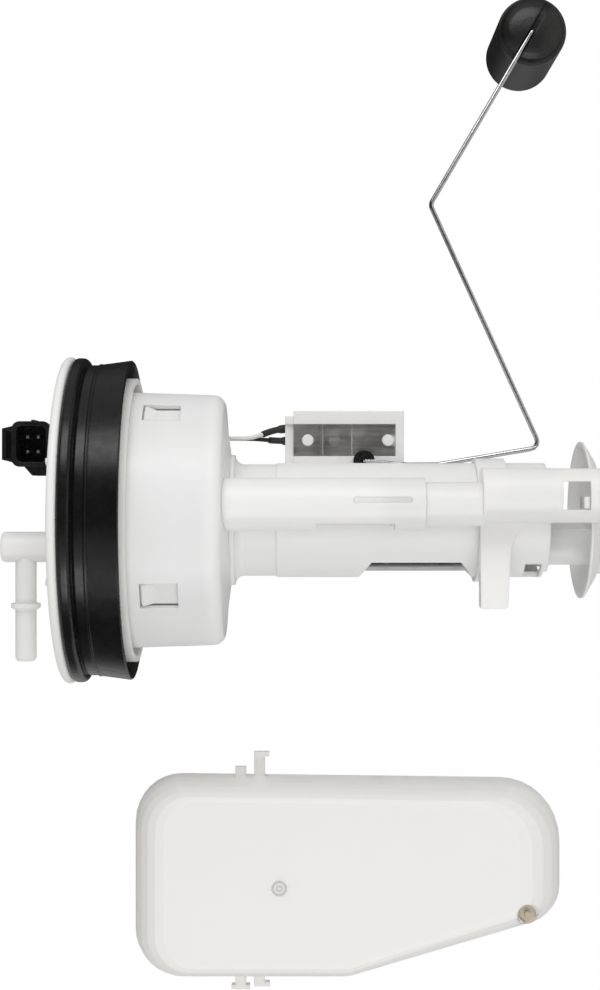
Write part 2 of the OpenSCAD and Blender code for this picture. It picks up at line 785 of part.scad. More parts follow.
module brush_a() {
    brush(1);
}

module brush_b() {
    brush(-1);
}

module brush_spring_a() {
    color(STEEL) translate([0, brush_y, 0]) coil(1.4, 0.25, brush_pocket_top, brush_top, 5);
}

module brush_spring_b() {
    color(STEEL) translate([0, -brush_y, 0]) coil(1.4, 0.25, brush_pocket_top, brush_top, 5);
}

module check_ball() {
    color(STEEL) translate([0, 0, -check_z]) sphere(r = ball_r);
}
// Depth at which the ball rests on its seat edge
check_z = chamber_bottom - sqrt(ball_r * ball_r - seat_r * seat_r) - 0.02;

module check_spring() {
    color(STEEL) coil(1.7, 0.25, chamber_top, check_z - ball_r * 0.87, 4);
}

module end_bracket() {
    color(WHITE) difference() {
        union() {
            translate([saddle_x, -tube_y, 0]) disc(saddle_r, saddle_top, saddle_end);
            translate([tube_x, -tube_y, 0]) disc(spigot_r, tube_end - spigot_in, saddle_top + 1);
            tube(ring_ro, ring_ri, saddle_top, saddle_top + band_w);
            translate([0, -leg_y0 + 9, 0]) rotate([90, 0, 0]) linear_extrude(height = 7)
                polygon(concat(
                    [[saddle_x, -saddle_top], [-leg_reach + 0.4, -saddle_top - 0.2]],
                    [[-leg_reach, -saddle_top - 0.8], [-leg_reach, -saddle_top - band_w + 2]],
                    [[-leg_reach + 1, -saddle_top - band_w + 1], [-12, -saddle_top - band_w]],
                    arc(-12, -saddle_top - band_w - 12, 12, 90, 0, 8),
                    [[saddle_x, -saddle_end]]
                ));
            intersection() {
                translate([saddle_x, -tube_y, 0])
                    tube(saddle_r, reg_r, saddle_end - 2, plate_z + strap_over);
                block(-60, 60, -90, -strap_y, saddle_end - 3, plate_z + strap_over + 1);
            }
        }
        disc(ring_ri, saddle_top - 1, saddle_end + 1);
        translate([tube_x, -tube_y, 0]) disc(spigot_r - 2, tube_end - spigot_in - 1, reg_top);
        translate([saddle_x, -tube_y, 0]) disc(reg_r, reg_top, saddle_end + 1);
        block(saddle_x - latch_w / 2, saddle_x + latch_w / 2, -90, -strap_y + 4, latch_z0, latch_z1);
        translate([tube_x, -tube_y, 0]) oring(tube_oring_r, oring_s, tube_end - spigot_in + 4);
    }
}

module tube_oring() {
    color(BLACK) translate([tube_x, -tube_y, 0]) oring(tube_oring_r, oring_s, tube_end - spigot_in + 4);
}

module regulator_body() {
    color(STEEL) translate([saddle_x, -tube_y, 0]) difference() {
        disc(reg_r - 0.04, reg_top, reg_end);
        disc(1.7, reg_top - 1, reg_top + 3);
        disc(4.2, reg_top + 2, reg_end - 2);
        disc(2.2, reg_end - 3, reg_end + 1);
    }
}
// Depth of the regulator ball on its seat
reg_ball_z = reg_top + 2 + sqrt(reg_ball_r * reg_ball_r - 1.7 * 1.7) + 0.02;

module regulator_ball() {
    color(STEEL) translate([saddle_x, -tube_y, -reg_ball_z]) sphere(r = reg_ball_r);
}

module regulator_spring() {
    color(STEEL) translate([saddle_x, -tube_y, 0])
        coil(1.9, 0.35, reg_ball_z + reg_ball_r * 0.8, reg_end - 2, 4);
}

module end_plate() {
    color(WHITE) difference() {
        union() {
            translate([0, 0, -plate_z]) rotate_extrude() polygon([
                [0, -bowl_d], [plate_r - 15.3, -bowl_d + 0.9], [plate_r - 6.3, -bowl_d + 3.9],
                [plate_r, -0.8], [plate_r, 0], [plate_r - plate_t, 0],
                [plate_r - 7, plate_t - bowl_d + 3.7], [plate_r - 15.8, plate_t - bowl_d + 0.9],
                [0, plate_t - bowl_d]
            ]);
            translate([-inlet_x, 0, 0]) disc(nozzle_r + 1.7, pump_bottom + 16, plate_z + bowl_d - 1);
            translate([-inlet_x, 0, 0]) disc(strainer_r + 1.4, plate_z + bowl_d - 4.5, plate_z + bowl_d);
            block(hook_x0, hook_x1, -tube_y - saddle_r + 1.5, -plate_r + 2, latch_z1 - 2.2, latch_z1 - 0.3);
            block(hook_x0, hook_x1, -strap_y + 0.3, -plate_r + 1.6, latch_z1 - 2.2, plate_z + 1.4);
            block(-9, -1, 14.6, 16.4, holder_end - 8, plate_z + bowl_d - 1.8);
            block(-9, -1, 14.6, holder_r - 1, holder_end - 8, holder_end - 5);
        }
        translate([-inlet_x, 0, 0]) {
            disc(nozzle_r + seam, pump_bottom + 15, plate_z + bowl_d - 2.4);
            disc(nozzle_r - 1.4, plate_z, plate_z + bowl_d);
            disc(strainer_r, plate_z + bowl_d - 1.6, plate_z + bowl_d + 1);
        }
    }
}

module strainer_frame() {
    color(AMBER) translate([-inlet_x, 0, 0]) {
        tube(strainer_r - 0.1, strainer_r - 1.6, plate_z + bowl_d - 1.2, plate_z + bowl_d);
        for (a = [0, 90]) rotate(a)
            block(1.4 - strainer_r, strainer_r - 1.4, -0.6, 0.6, plate_z + bowl_d - 1.1, plate_z + bowl_d);
    }
}

module strainer_mesh() {
    color([0.6, 0.6, 0.58]) translate([-inlet_x, 0, 0])
        disc(strainer_r - 0.1, plate_z + bowl_d - 1.6, plate_z + bowl_d - 1.2);
}

module sender_housing() {
    color(WHITE) difference() {
        union() {
            block(sender_x0, sender_x1, sender_y, sender_y1, sender_z0 + 3.2, sender_z1);
            block(sender_x0 + 3, sender_x1 - 2, sender_y + 0.6, sender_y1 - 1, sender_z0, sender_z0 + 3.3);
        }
        difference() {
            block(recess_x0, recess_x1, sender_y - 1, sender_y + recess_d, recess_z0, recess_z1);
            for (z = post_zs) pin_y(post_x, z, post_r, sender_y, sender_y + recess_d + 1);
        }
        block(recess_x0, recess_x1, sender_y - 1, sender_y + recess_d, recess_z0 - 4, recess_z0 + 1);
        pin_y(pivot_x, pivot_z, wire_r + pivot_gap, sender_y - 1, cavity_y0 + 1);
        pin_y(post_x, rivet_z, 1.2, sender_y + 1, sender_y + recess_d + 1);
        block(sender_x0 + 1.6, sender_x1 - 1.6, cavity_y0, sender_y1 + 1, pivot_z - 13, pivot_z + 13);
        for (x = lead_xs) translate([x, lead_end_y, 0]) disc(sleeve_end_r + seam, sender_z0 - 1, sender_z0 + 4);
    }
}
post_zs = [sender_z0 + 8.7, sender_z1 - 6.1];
rivet_z = sender_z0 + 18.8;
lead_xs = [sender_x1 - 6.5, sender_x1 - 11.3];
lead_end_y = sender_y + 5.6;
sleeve_end_r = 1.7;

module sender_cover() {
    color(WHITE) difference() {
        block(sender_x0 + 1.7, sender_x1 - 1.7, sender_y1 - cover_t, sender_y1, pivot_z - 12.9, pivot_z + 12.9);
        block(sender_x0 + 6, sender_x1 - 6, sender_y1 - 0.6, sender_y1 + 1, pivot_z - 8, pivot_z + 8);
    }
}

// Plate lying on the floor of the recess between two depths
module contact_plate(z0, z1) {
    block(recess_x0 + 0.2, recess_x1 - 0.2, sender_y + recess_d - plate_d, sender_y + recess_d, z0, z1);
}

module contact_plate_a() {
    z1 = recess_z0 + 11.2;
    color(NICKEL) difference() {
        union() {
            contact_plate(recess_z0 + 0.2, z1);
            block(recess_x0 + 0.2, recess_x1 - 0.2, sender_y + 0.3, sender_y + recess_d, z1 - 0.8, z1);
        }
        pin_y(post_x, post_zs[0], post_r + 0.05, sender_y - 1, sender_y + recess_d + 1);
    }
}

module contact_plate_b() {
    color(NICKEL) difference() {
        contact_plate(recess_z0 + 11.7, recess_z0 + 22.4);
        pin_y(post_x, rivet_z, 1.2, sender_y - 1, sender_y + recess_d + 1);
    }
}

module contact_plate_c() {
    color(NICKEL) difference() {
        contact_plate(recess_z0 + 22.9, recess_z1 - 0.3);
        pin_y(post_x, post_zs[1], post_r + 0.05, sender_y - 1, sender_y + recess_d + 1);
        block(post_x - post_r - 0.05, post_x + post_r + 0.05, sender_y, sender_y + 4, post_zs[1], recess_z1);
    }
}

module sender_rivet() {
    color(STEEL) union() {
        pin_y(post_x, rivet_z, 2.1, sender_y + recess_d - plate_d - 0.6, sender_y + recess_d - plate_d);
        pin_y(post_x, rivet_z, 1.2, sender_y + recess_d - plate_d - 0.1, sender_y + recess_d + 1);
    }
}

module resistor_card() {
    color([0.85, 0.85, 0.82])
        block(pivot_x + 3, sender_x1 - 2, cavity_y0, cavity_y0 + 0.8, pivot_z - 11, pivot_z + 11);
}

module wiper_carrier() {
    color(BLACK) difference() {
        union() {
            pin_y(pivot_x, pivot_z, hub_r, hub_y0, hub_y1);
            pin_y(pivot_x, pivot_z, 2, hub_y0 - 1.4, hub_y1);
        }
        pin_y(pivot_x, pivot_z, wire_r, hub_y0 - 2, hub_y1 + 1);
        arm_segment(0, 0.01);
    }
}

// Straight stretch i of the float arm, wider by a clearance
module arm_segment(i, gap = 0) {
    a = arm_points[i];
    b = arm_points[i + 1];
    d = norm(b - a);
    translate([a[0], wire_y, a[1]]) rotate([0, atan2(b[0] - a[0], b[1] - a[1]), 0])
        cylinder(r = wire_r + gap, h = d);
}

// Points of the wire around corner i of a path, rounded to a radius
function corner(p, i, r) =
    let (a = unit(p[i] - p[i - 1]), b = unit(p[i + 1] - p[i]), trim = r * tan(acos(a * b) / 2))
    [for (k = [0:4]) bezier(p[i] - a * trim, p[i] - a * trim * 0.45,
        p[i] + b * trim * 0.45, p[i] + b * trim, k / 4)];
wire_points = concat(
    [[pivot_x, wiper_y + 2, -pivot_z]],
    [for (q = arm_points) [q[0], wire_y, q[1]]],
    [[float_x, float_y0 + float_len - 5, -float_z]]
);

module float_wire() {
    last = len(wire_points) - 1;
    color(STEEL) sweep(concat(
        [wire_points[0]],
        [for (i = [1:last - 1]) each corner(wire_points, i, i == 1 || i == last - 1 ? wire_r : bend_r)],
        [wire_points[last]]
    ), wire_r, 16, [-0.55, 0.5, 0.67]);
}

module wiper_contact() {
    reach = 13;
    color(NICKEL) union() {
        difference() {
            pin_y(pivot_x, pivot_z, 2.4, wiper_y, wiper_y + 0.5);
            pin_y(pivot_x, pivot_z, wire_r, wiper_y - 1, wiper_y + 1);
        }
        translate([pivot_x, wiper_y, -pivot_z]) rotate([0, 24, 0])
            translate([wire_r + 0.6, 0, -1]) cube([reach, 0.5, 2]);
        translate([pivot_x, 0, -pivot_z]) rotate([0, 24, 0]) translate([reach, wiper_y + 0.2, 0])
            rotate([90, 0, 0]) cylinder(r = 0.7, h = wiper_y + 0.1 - cavity_y0 - 0.8);
    }
}

module float() {
    a = arm_points[len(arm_points) - 2];
    b = [float_x, -float_z];
    color(CHARCOAL) difference() {
        translate([float_x, float_y0, -float_z]) rotate([-90, 0, 0]) rotate_extrude() polygon(concat(
            [[0, float_len]], [[float_r - 1, float_len]],
            arc(float_r - 1, float_len - 1, 1, 90, 0, 4),
            [[float_r, float_crown + 1]],
            [for (k = [0:8]) [float_r * cos(90 * k / 8) * 0.985, float_crown * (1 - sin(90 * k / 8))]]
        ));
        pin_y(float_x, float_z, wire_r + 0.02, float_y0 - 1, float_y0 + float_len - 5);
        translate([float_x, wire_y, -float_z]) rotate([0, atan2(b[0] - a[0], b[1] - a[1]), 0])
            translate([-wire_r - 0.25, -6, -float_r - 2]) cube([2 * wire_r + 0.5, 6 + wire_r + 0.05, 2 * float_r + 4]);
    }
}

// Place at t on a lead's route from the sender socket into the canister's lead tube
function lead_at(i, t) = t < 0.5
    ? bezier([lead_xs[i], lead_end_y, -sender_z0 - 3], [lead_xs[i], lead_end_y, -sender_z0 + 8],
        lead_exit(i) - [0, 0, 9], lead_exit(i), 2 * t)
    : mix(lead_exit(i), lead_exit(i) + [0, 0, dome_z - filter_z0], 2 * t - 1);
function lead_exit(i) = [lead_x, lead_y + (i - 0.5) * 2.2, -dome_z - 1];
function lead_route(i, t0, t1, n) = [for (k = [0:n]) lead_at(i, mix(t0, t1, k / n))];

module lead(i) {
    sweep(lead_route(i, sleeve_share[i] + 0.005, 1, 12), 0.8, 8, [0.1, 1, 0.02]);
}

module lead_sleeve(i) {
    steps = 10;
    sweep(lead_route(i, 0, sleeve_share[i], steps),
        [for (k = [0:steps]) k < 4 ? sleeve_end_r - 0.05 : 1.25], 8, [0.1, 1, 0.02]);
}
// Share of each route that its heat-shrink sleeve covers
sleeve_share = [0.28, 0.2];

module lead_white() {
    color([0.9, 0.9, 0.88]) lead(0);
}

module lead_black() {
    color(BLACK) lead(1);
}

module sleeve_upper() {
    color(BLACK) lead_sleeve(0);
}

module sleeve_lower() {
    color(BLACK) lead_sleeve(1);
}

// The cup hangs on the -X side: its modules draw it toward +X and are mirrored.
// Outline of the cup's rim, drawn inward by an inset at each end and side
module cup_outline(t, wall) {
    a = cup_z0 + t * face_inset_a + wall;
    b = cup_z1 - t * face_inset_b - wall;
    x0 = cup_x0 + t * face_inset_s + wall;
    x1 = cup_x1 - t * face_inset_s - wall;
    r = max(2, cup_corner - 6 * t - wall);
    r_near = max(2, cup_end_r - 6 * t - wall);
    r_far = max(2, cup_tip_r - 6 * t - wall);
    hull() {
        translate([x0 + r, -a - r]) circle(r = r, $fn = 32);
        translate([x1 - r, -a - r]) circle(r = r, $fn = 32);
        translate([x1 - r, -cup_z0 - cup_bend]) circle(r = r, $fn = 32);
        translate([x0 + 1.5 + r_near, -b + r_near]) circle(r = r_near, $fn = 32);
        translate([x1 - cup_slant - r_far, -b + r_far]) circle(r = r_far, $fn = 32);
    }
}

module cup_form(wall) {
    levels = 6;
    hull() {
        translate([0, 0.02, 0]) rotate([90, 0, 0]) linear_extrude(height = 3) cup_outline(0, wall);
        for (k = [1:levels]) {
            a = 90 * k / levels;
            translate([0, -3 - (cup_depth - 3 - wall) * sin(a) + 0.01, 0]) rotate([90, 0, 0])
                linear_extrude(height = 0.01) cup_outline(1 - cos(a), wall);
        }
    }
}

// Stub with a cross head on the cup's side, s = -1 near the module and 1 on the far side
module cup_clip(s, z, len, head) {
    x = s < 0 ? cup_x0 : cup_x1;
    translate([x - s * 2, -5, -z]) scale([s, 1, 1]) {
        translate([0, 0, -2]) cube([len + 2, 3.4, 4]);
        translate([len + 0.6, 0, -2 - head[1]]) cube([1.6, 3.4, 4 + head[0] + head[1]]);
    }
}

module reservoir_cup() {
    color(CUP) mirror([1, 0, 0]) difference() {
        union() {
            difference() {
                cup_form(0);
                translate([0, 0.05, 0]) cup_form(cup_wall);
            }
            intersection() {
                pin_y(valve_x, valve_z, inlet_r + 1.2, -cup_depth, seat_y + 5);
                cup_form(0);
            }
            cup_clip(-1, clip_z - 7, 2.8, [0, 0]);
            cup_clip(-1, clip_z, 8.4, [0, 1.6]);
            cup_clip(1, clip_z - 7, 6.6, [1.4, 1.4]);
            cup_clip(1, clip_z, 5.6, [0, 1.8]);
        }
        pin_y(valve_x, valve_z, inlet_r, -cup_depth - 1, seat_y);
        pin_y(valve_x, valve_z, valve_seat_r, -cup_depth - 1, 0);
        pin_y(valve_x, valve_z, inlet_r, seat_y + 1, 0);
    }
}
// Plane where the inlet valve's seat starts, inside the cup's boss
seat_y = -cup_depth + 4;

module inlet_valve() {
    color(AMBER) mirror([1, 0, 0]) union() {
        pin_y(valve_x, valve_z, inlet_r - seam, seat_y + 1.02, seat_y + 1.02 + valve_t);
        pin_y(valve_x, valve_z, 1, seat_y - 0.6, seat_y + 1.1);
    }
}

module valve_clip() {
    y = seat_y + 1.02 + valve_t + valve_travel + 0.05;
    color(WHITE) mirror([1, 0, 0]) difference() {
        pin_y(valve_x, valve_z, inlet_r, y, y + 0.7);
        pin_y(valve_x, valve_z, inlet_r - 1.4, y - 1, y + 2);
    }
}

flange();
flange_seal();
outlet_elbow();
outlet_oring();
connector_housing();
connector_pins();
filter_canister();
filter_media();
filter_core();
filter_top_cap();
filter_bottom_cap();
pump_holder();
pump_oring();
pump_case();
outlet_cap();
pump_head();
inlet_cap();
magnet_a();
magnet_b();
motor_shaft();
armature();
commutator();
impeller();
brush_a();
brush_b();
brush_spring_a();
brush_spring_b();
check_ball();
check_spring();
end_bracket();
tube_oring();
regulator_body();
regulator_ball();
regulator_spring();
end_plate();
strainer_frame();
strainer_mesh();
sender_housing();
sender_cover();
contact_plate_a();
contact_plate_b();
contact_plate_c();
sender_rivet();
resistor_card();
wiper_carrier();
wiper_contact();
float_wire();
float();
lead_white();
lead_black();
sleeve_upper();
sleeve_lower();
reservoir_cup();
inlet_valve();
valve_clip();
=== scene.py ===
import json
import math

import bmesh
import bpy
from mathutils import Matrix, Vector


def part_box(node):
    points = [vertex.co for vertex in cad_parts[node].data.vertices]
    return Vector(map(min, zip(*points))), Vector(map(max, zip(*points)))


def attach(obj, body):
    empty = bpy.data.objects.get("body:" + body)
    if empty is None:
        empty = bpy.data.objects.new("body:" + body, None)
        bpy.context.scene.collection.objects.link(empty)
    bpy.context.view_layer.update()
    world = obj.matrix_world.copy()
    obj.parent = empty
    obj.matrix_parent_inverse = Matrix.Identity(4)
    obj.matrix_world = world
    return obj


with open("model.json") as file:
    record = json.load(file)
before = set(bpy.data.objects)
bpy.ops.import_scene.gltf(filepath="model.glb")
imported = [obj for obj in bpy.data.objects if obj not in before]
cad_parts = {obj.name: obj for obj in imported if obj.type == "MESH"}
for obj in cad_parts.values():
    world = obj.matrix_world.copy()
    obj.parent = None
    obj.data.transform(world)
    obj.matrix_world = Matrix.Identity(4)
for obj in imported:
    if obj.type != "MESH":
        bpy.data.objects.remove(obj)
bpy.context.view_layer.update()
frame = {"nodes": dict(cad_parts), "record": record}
nodes = frame["nodes"]

MM = 0.001


# ---------------------------------------------------------------- camera and light
VIEW_DISTANCE = 0.66
VIEW_CENTRE = Vector((9.4 * MM, 0, -83.7 * MM))
LIGHT_TARGET = (0, 0, -0.08)


def add_camera():
    """Square on from the front, turned so that the module's lower end is at the right."""
    data = bpy.data.cameras.new("camera")
    data.sensor_width = 36
    data.lens = 63.9
    camera = bpy.data.objects.new("camera", data)
    bpy.context.collection.objects.link(camera)
    right, up, back = Vector((0, 0, -1)), Vector((1, 0, 0)), Vector((0, -1, 0))
    turn = Matrix((right, up, back)).transposed().to_4x4()
    camera.matrix_world = Matrix.Translation(VIEW_CENTRE + back * VIEW_DISTANCE) @ turn
    bpy.context.scene.camera = camera


def add_area(name, place, size, watts):
    """A soft rectangular light aimed at the middle of the module."""
    data = bpy.data.lights.new(name, "AREA")
    data.shape = "RECTANGLE"
    data.size, data.size_y = size
    data.energy = watts
    lamp = bpy.data.objects.new(name, data)
    bpy.context.collection.objects.link(lamp)
    lamp.location = place
    aim = Vector(LIGHT_TARGET) - Vector(place)
    lamp.rotation_euler = aim.to_track_quat("-Z", "Y").to_euler()


def fill_ramp(ramp, stops):
    """Puts (place, grey) stops on a new colour ramp, which has two elements to begin with."""
    for element, (place, grey) in zip(ramp.elements, (stops[0], stops[-1])):
        element.position = place
        element.color = (grey, grey, grey, 1)
    for place, grey in stops[1:-1]:
        ramp.elements.new(place).color = (grey, grey, grey, 1)


ROOM_STOPS = ((0.0, 0.8), (0.5, 0.94), (1.0, 1.0))
MIRROR_STOPS = (
    (0.0, 0.05), (0.08, 0.08), (0.16, 0.9), (0.34, 0.7), (0.44, 0.03), (0.78, 0.05), (1.0, 0.6)
)


def add_world():
    """White backdrop, with a softer room that lights the part and a darker one for reflections."""
    world = bpy.data.worlds.new("studio")
    world.use_nodes = True
    tree = world.node_tree
    tree.nodes.clear()

    def node(kind, **values):
        made = tree.nodes.new(kind)
        for key, value in values.items():
            setattr(made, key, value)
        return made

    path = node("ShaderNodeLightPath")
    coords = node("ShaderNodeTexCoord")
    split = node("ShaderNodeSeparateXYZ")
    tree.links.new(coords.outputs["Generated"], split.inputs["Vector"])

    def background(stops, strength):
        """Greys from (place, grey) stops, where place 0 looks along -X and place 1 along +X."""
        ramp = node("ShaderNodeValToRGB")
        fill_ramp(ramp.color_ramp, stops)
        half = node("ShaderNodeMath", operation="MULTIPLY_ADD")
        half.inputs[1].default_value, half.inputs[2].default_value = 0.5, 0.5
        tree.links.new(split.outputs["X"], half.inputs[0])
        tree.links.new(half.outputs[0], ramp.inputs["Fac"])
        shade = node("ShaderNodeBackground")
        shade.inputs["Strength"].default_value = strength
        tree.links.new(ramp.outputs["Color"], shade.inputs["Color"])
        return shade

    room = background(ROOM_STOPS, 0.62)
    mirror = background(MIRROR_STOPS, 0.7)
    plain_white = node("ShaderNodeBackground")
    plain_white.inputs["Color"].default_value = (1, 1, 1, 1)
    glossy = node("ShaderNodeMixShader")
    tree.links.new(path.outputs["Is Glossy Ray"], glossy.inputs[0])
    tree.links.new(room.outputs[0], glossy.inputs[1])
    tree.links.new(mirror.outputs[0], glossy.inputs[2])
    seen = node("ShaderNodeMixShader")
    tree.links.new(path.outputs["Is Camera Ray"], seen.inputs[0])
    tree.links.new(glossy.outputs[0], seen.inputs[1])
    tree.links.new(plain_white.outputs[0], seen.inputs[2])
    output = node("ShaderNodeOutputWorld")
    tree.links.new(seen.outputs[0], output.inputs["Surface"])
    bpy.context.scene.world = world
    view = bpy.context.scene.view_settings
    view.view_transform = "Standard"
    view.look = "None"


add_camera()
add_world()
add_area("high", (0.66, -0.5, -0.02), (0.35, 0.7), 2.6)
add_area("low", (-0.55, -0.6, -0.16), (0.3, 0.6), 1.9)


# ---------------------------------------------------------------- materials
class Nodes:
    """Short hand for building one material's node tree."""

    def __init__(self, name, color, rough):
        self.material = bpy.data.materials.new(name)
        self.material.use_nodes = True
        self.tree = self.material.node_tree
        self.shader = self.tree.nodes["Principled BSDF"]
        self.shader.inputs["Base Color"].default_value = (*color, 1)
        self.shader.inputs["Roughness"].default_value = rough
        self.coords = self.add("ShaderNodeTexCoord").outputs["Object"]

    def add(self, kind, **values):
        node = self.tree.nodes.new(kind)
        for key, value in values.items():
            setattr(node, key, value)
        return node

    def link(self, source, target):
        self.tree.links.new(source, target)

    def noise(self, scale, detail, stretch=(1, 1, 1)):
        """Noise over object space, scale in features per metre."""
        mapping = self.add("ShaderNodeMapping")
        mapping.inputs["Scale"].default_value = stretch
        self.link(self.coords, mapping.inputs["Vector"])
        node = self.add("ShaderNodeTexNoise")
        node.inputs["Scale"].default_value = scale
        node.inputs["Detail"].default_value = detail
        self.link(mapping.outputs["Vector"], node.inputs["Vector"])
        return node.outputs["Fac"]

    def ramp(self, source, low, high, start=0.3, end=0.7):
        """Colours or greys from low to high over the source's range."""
        node = self.add("ShaderNodeValToRGB")
        node.color_ramp.elements[0].position = start
        node.color_ramp.elements[1].position = end
        node.color_ramp.elements[0].color = (*low, 1)
        node.color_ramp.elements[1].color = (*high, 1)
        self.link(source, node.inputs["Fac"])
        return node.outputs["Color"]

    def grey_ramp(self, source, low, high, start=0.3, end=0.7):
        return self.ramp(source, (low,) * 3, (high,) * 3, start, end)

    def set(self, socket, value):
        self.shader.inputs[socket].default_value = value

    def tint(self, source, low, high):
        """Base colour between two colours, by a noise."""
        self.link(self.ramp(source, low, high), self.shader.inputs["Base Color"])

    def satin(self, source, low, high):
        """Roughness between two values, by a noise."""
        self.link(self.grey_ramp(source, low, high), self.shader.inputs["Roughness"])

    def rounded_edges(self, radius, height, strength, distance):
        """Softened edges with a fine relief on top, all in metres."""
        bevel = self.add("ShaderNodeBevel", samples=4)
        bevel.inputs["Radius"].default_value = radius
        bump = self.add("ShaderNodeBump")
        bump.inputs["Strength"].default_value = strength
        bump.inputs["Distance"].default_value = distance
        self.link(height, bump.inputs["Height"])
        self.link(bevel.outputs["Normal"], bump.inputs["Normal"])
        self.link(bump.outputs["Normal"], self.shader.inputs["Normal"])


def white_plastic():
    """Natural nylon: warm white, slightly translucent, faint flow marks and satin grain."""
    m = Nodes("white_plastic", (0.90, 0.895, 0.875), 0.42)
    m.tint(m.noise(14, 2, (1, 1, 0.35)), (0.875, 0.865, 0.835), (0.915, 0.912, 0.90))
    m.satin(m.noise(220, 4), 0.36, 0.5)
    m.set("Subsurface Weight", 0.35)
    m.set("Subsurface Radius", (0.004, 0.0036, 0.003))
    m.set("Subsurface Scale", 1.0)
    m.set("IOR", 1.5)
    m.rounded_edges(0.00045, m.noise(2600, 3), 0.08, 0.00005)
    return m.material


def cup_plastic():
    """Thin natural plastic that lets some light through."""
    m = Nodes("cup_plastic", (0.88, 0.86, 0.83), 0.4)
    m.tint(m.noise(9, 2, (1, 1, 0.4)), (0.865, 0.842, 0.805), (0.89, 0.872, 0.845))
    m.satin(m.noise(180, 4), 0.34, 0.48)
    m.set("Subsurface Weight", 0.5)
    m.set("Subsurface Radius", (0.006, 0.0055, 0.0048))
    m.set("Subsurface Scale", 1.0)
    m.rounded_edges(0.0005, m.noise(2200, 3), 0.06, 0.00005)
    return m.material


def rubber():
    """Black nitrile with a soft sheen and fine moulded texture."""
    m = Nodes("rubber", (0.006, 0.006, 0.0065), 0.42)
    m.tint(m.noise(60, 5), (0.004, 0.004, 0.0045), (0.010, 0.010, 0.0105))
    m.satin(m.noise(300, 5), 0.22, 0.32)
    m.set("Specular IOR Level", 0.4)
    m.rounded_edges(0.0004, m.noise(1500, 4), 0.12, 0.00005)
    return m.material


def black_plastic():
    """Satin black for the connector, the arm's hub and the two ends of the pump."""
    m = Nodes("black_plastic", (0.011, 0.011, 0.012), 0.26)
    m.tint(m.noise(90, 4), (0.008, 0.008, 0.009), (0.017, 0.017, 0.018))
    m.satin(m.noise(420, 4), 0.2, 0.36)
    m.rounded_edges(0.0003, m.noise(3000, 3), 0.1, 0.00004)
    return m.material


def metal(name, low, high, rough_low, rough_high, stretch):
    """Metal with fine lines drawn out along one direction."""
    m = Nodes(name, high, rough_low)
    m.set("Metallic", 1.0)
    lines = m.noise(900, 4, stretch)
    m.tint(lines, low, high)
    m.satin(m.noise(160, 5), rough_low, rough_high)
    m.rounded_edges(0.0002, lines, 0.15, 0.00003)
    return m.material


DOME_DEPTH = 3 * MM
PORE_SHARE = 0.03
DOME_STOPS = ((0.02, 0.2), (0.06, 0.0), (0.16, 0.45), (0.34, 0.8), (0.6, 0.95), (1.0, 1.0))


def foam():
    """Charcoal float: dark front end and side, and a lighter, more matte back end.

    The relief makes the front end look domed inside a groove; the mesh there is flat.
    """
    low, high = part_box("float")
    radius = (high[2] - low[2]) / 2
    centre_x, centre_z = high[0] - radius, low[2] + radius
    m = Nodes("float_foam", (0.035, 0.032, 0.030), 0.62)
    face = m.add("ShaderNodeSeparateXYZ")
    m.link(m.add("ShaderNodeTexCoord").outputs["Normal"], face.inputs[0])
    not_back = m.grey_ramp(face.outputs["Y"], 1, 0, 0.0, 0.001)
    place = m.add("ShaderNodeMapping")
    place.inputs["Scale"].default_value = (1 / radius, 0, 1 / radius)
    place.inputs["Location"].default_value = (-centre_x / radius, 0, -centre_z / radius)
    m.link(m.coords, place.inputs["Vector"])
    inward = m.add("ShaderNodeTexGradient", gradient_type="SPHERICAL")
    m.link(place.outputs["Vector"], inward.inputs["Vector"])
    dome = m.add("ShaderNodeValToRGB")
    dome.color_ramp.interpolation = "B_SPLINE"
    fill_ramp(dome.color_ramp, DOME_STOPS)
    m.link(inward.outputs["Fac"], dome.inputs["Fac"])
    color = m.add("ShaderNodeMix", data_type="RGBA")
    m.link(not_back, color.inputs["Factor"])
    back_color = m.ramp(m.noise(160, 6), (0.060, 0.054, 0.050), (0.105, 0.096, 0.090))
    main_color = m.ramp(m.noise(120, 4), (0.007, 0.006, 0.006), (0.014, 0.013, 0.012))
    m.link(back_color, color.inputs["A"])
    m.link(main_color, color.inputs["B"])
    m.link(color.outputs["Result"], m.shader.inputs["Base Color"])
    m.link(m.grey_ramp(not_back, 0.66, 0.36, 0.0, 1.0), m.shader.inputs["Roughness"])
    relief = m.add("ShaderNodeMath", operation="MULTIPLY_ADD")
    relief.inputs[1].default_value = PORE_SHARE
    m.link(m.noise(1800, 5), relief.inputs[0])
    m.link(dome.outputs["Color"], relief.inputs[2])
    m.rounded_edges(0.0006, relief.outputs[0], 1.0, DOME_DEPTH)
    return m.material


def plain(name, low, high, rough, scale=200):
    """Matte material with colour variation and a fine surface."""
    m = Nodes(name, high, rough)
    m.tint(m.noise(scale, 4), low, high)
    m.satin(m.noise(scale * 3, 3), rough - 0.07, rough + 0.07)
    m.rounded_edges(0.0002, m.noise(scale * 8, 3), 0.1, 0.00005)
    return m.material


